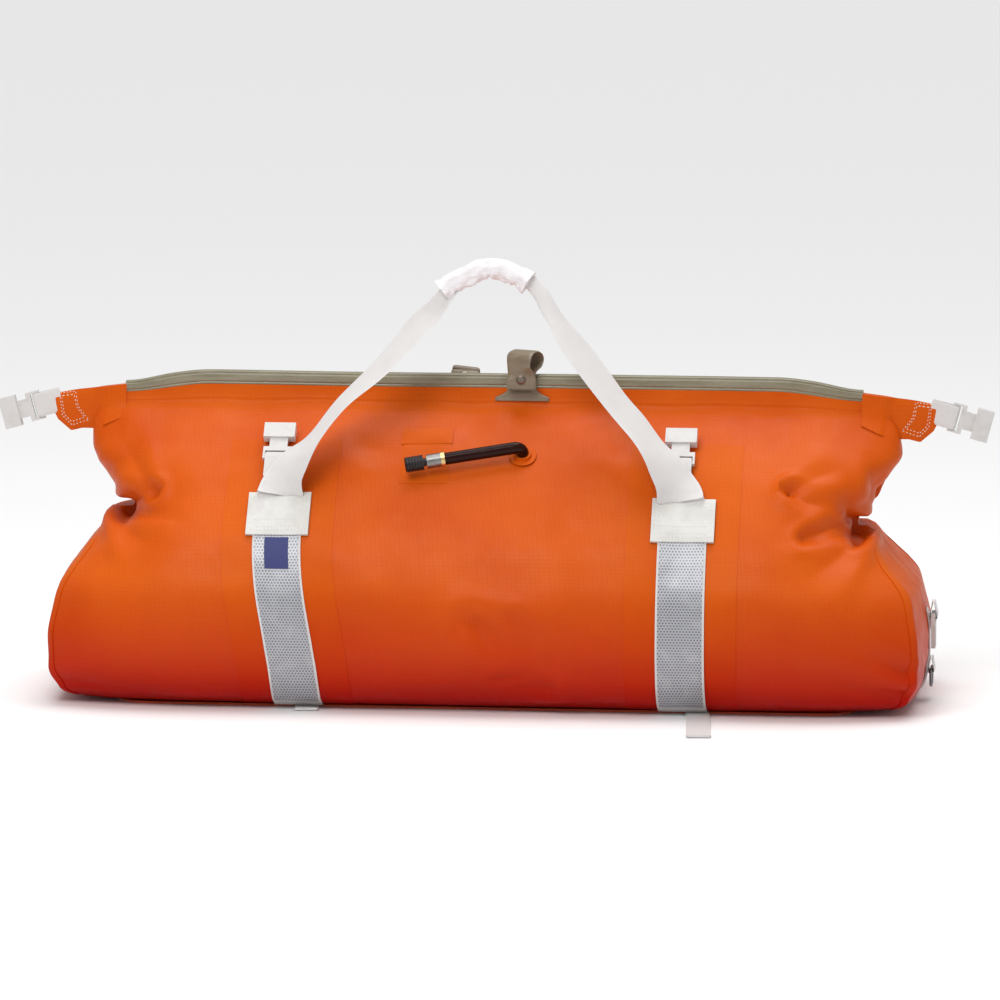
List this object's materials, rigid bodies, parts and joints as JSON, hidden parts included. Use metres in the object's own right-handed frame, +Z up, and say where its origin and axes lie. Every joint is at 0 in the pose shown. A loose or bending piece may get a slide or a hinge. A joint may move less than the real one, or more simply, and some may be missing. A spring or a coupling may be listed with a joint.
{
  "type": "dry duffel bag",
  "caption": "Long welded waterproof duffel with an interlocking press-seal zip, webbing belly straps, lift handles, side-release buckles and an oral valve.",
  "frame": {"origin": "middle of the flat base, on the ground", "axes": "+X along the zip to the right-hand end, -Y to the front with the valve, +Z up"},
  "size_m": [1.0604, 0.436, 0.4692],
  "materials": {
    "shell": "coated satin weave",
    "neck": "coated satin weave",
    "webbing": "matt woven",
    "patch": "matt woven",
    "reflective": "glass-bead tape",
    "zip": "satin",
    "pull": "satin",
    "buckle": "fine texture",
    "label": "woven",
    "rivet": "dulled",
    "tube": "gloss",
    "cap": "matt",
    "brass": "turned",
    "barrel": "turned",
    "flange": "satin",
    "ring": "dark"
  },
  "bodies": {
    "bag": {"base_ply": "shell", "belly_strap_left": "webbing", "belly_strap_right": "webbing", "buckle_web_front_left": "webbing", "buckle_web_front_right": "webbing", "buckle_web_rear_left": "webbing", "buckle_web_rear_right": "webbing", "end_buckle_web_right": "webbing", "end_panel_left": "shell", "end_panel_right": "shell", "end_ring_web_right": "webbing", "end_tape_right": "webbing", "floor_panel": "shell", "front_panel": "shell", "handle_patch_front_left": "patch", "handle_patch_front_right": "patch", "handle_patch_rear_left": "patch", "handle_patch_rear_right": "patch", "rear_panel": "shell", "reflective_tape_front_left": "reflective", "reflective_tape_front_right": "reflective", "tab_back_left": "shell", "tab_back_right": "shell", "tab_front_left": "shell", "tab_front_right": "shell", "tab_web_left": "webbing", "tab_web_right": "webbing", "tail_left": "webbing", "tail_right": "webbing", "valve_flange": "flange", "valve_keeper": "shell", "weld_band_left": "shell", "weld_band_right": "shell", "woven_label": "label"},
    "lip_front": {"neck_band_front": "neck", "zip_lip_front": "zip", "pull_foot_front": "pull"},
    "lip_rear": {"neck_band_rear": "neck", "zip_lip_rear": "zip", "pull_foot_rear": "pull"},
    "pull_front": {"pull_loop_front": "pull", "pull_rivet_front": "rivet"},
    "pull_rear": {"pull_loop_rear": "pull", "pull_rivet_rear": "rivet"},
    "handle_front": {"front_handle_strap": "webbing", "front_grip_sleeve": "webbing"},
    "handle_rear": {"rear_handle_strap": "webbing", "rear_grip_sleeve": "webbing"},
    "socket_front_left": {"buckle_front_left": "buckle"},
    "socket_front_right": {"buckle_front_right": "buckle"},
    "plug_rear_left": {"buckle_rear_left": "buckle"},
    "plug_rear_right": {"buckle_rear_right": "buckle"},
    "tab_socket_left": {"tab_buckle_left": "buckle"},
    "tab_socket_right": {"tab_buckle_right": "buckle"},
    "end_plug": {"end_buckle_right": "buckle"},
    "end_ring": {"end_ring_right": "ring"},
    "valve_arm": {"valve_tube": "tube", "valve_ring": "brass", "valve_barrel": "barrel"},
    "valve_cap_body": {"valve_cap": "cap"}
  },
  "joints": [
    {"name": "lip_front_open", "type": "hinge", "parent": "bag", "child": "lip_front", "pos_m": [0, -0.0142, 0.3005], "axis": [1, 0, 0], "range_deg": [0, 25]},
    {"name": "lip_rear_open", "type": "hinge", "parent": "bag", "child": "lip_rear", "pos_m": [0, 0.0142, 0.3005], "axis": [-1, 0, 0], "range_deg": [0, 25]},
    {"name": "pull_front_flex", "type": "hinge", "parent": "lip_front", "child": "pull_front", "pos_m": [0.032, -0.015, 0.329], "axis": [1, 0, 0], "range_deg": [0, 60]},
    {"name": "pull_rear_flex", "type": "hinge", "parent": "lip_rear", "child": "pull_rear", "pos_m": [-0.032, 0.015, 0.329], "axis": [-1, 0, 0], "range_deg": [0, 30]},
    {"name": "handle_front_swing", "type": "hinge", "parent": "bag", "child": "handle_front", "pos_m": [0, -0.11014, 0.2215], "axis": [1, 0, 0], "range_deg": [-3, 75]},
    {"name": "handle_rear_raise", "type": "hinge", "parent": "bag", "child": "handle_rear", "pos_m": [0, 0.11134, 0.2215], "axis": [1, 0, 0], "range_deg": [0, 120]},
    {"name": "socket_front_left_tilt", "type": "hinge", "parent": "bag", "child": "socket_front_left", "pos_m": [-0.219, -0.08059, 0.25846], "axis": [1, 0, 0], "range_deg": [0, 40]},
    {"name": "plug_rear_left_tilt", "type": "hinge", "parent": "bag", "child": "plug_rear_left", "pos_m": [-0.212, 0.08059, 0.25846], "axis": [-1, 0, 0], "range_deg": [0, 55]},
    {"name": "tab_socket_left_swing", "type": "hinge", "parent": "bag", "child": "tab_socket_left", "pos_m": [-0.48497, 0, 0.30154], "axis": [0.2588, 0, -0.9659], "range_deg": [-50, 50]},
    {"name": "socket_front_right_tilt", "type": "hinge", "parent": "bag", "child": "socket_front_right", "pos_m": [0.205, -0.08059, 0.25846], "axis": [1, 0, 0], "range_deg": [0, 40]},
    {"name": "plug_rear_right_tilt", "type": "hinge", "parent": "bag", "child": "plug_rear_right", "pos_m": [0.212, 0.08059, 0.25846], "axis": [-1, 0, 0], "range_deg": [0, 55]},
    {"name": "tab_socket_right_swing", "type": "hinge", "parent": "bag", "child": "tab_socket_right", "pos_m": [0.48497, 0, 0.30154], "axis": [-0.2588, 0, -0.9659], "range_deg": [-50, 50]},
    {"name": "end_plug_swing", "type": "hinge", "parent": "bag", "child": "end_plug", "pos_m": [0.468, 0, 0.0921], "axis": [0, -1, 0], "range_deg": [0, 60]},
    {"name": "end_ring_swing", "type": "hinge", "parent": "bag", "child": "end_ring", "pos_m": [0.466, 0, 0.033], "axis": [0, -1, 0], "range_deg": [0, 60]},
    {"name": "valve_arm_swivel", "type": "hinge", "parent": "bag", "child": "valve_arm", "pos_m": [0.039, -0.06638, 0.262], "axis": [0, -0.6561, 0.7547], "range_deg": [-30, 15]},
    {"name": "valve_cap_pull", "type": "slide", "parent": "valve_arm", "child": "valve_cap_body", "axis": [-0.9744, -0.1698, -0.1476], "range_m": [0, 0.006]}
  ]
}
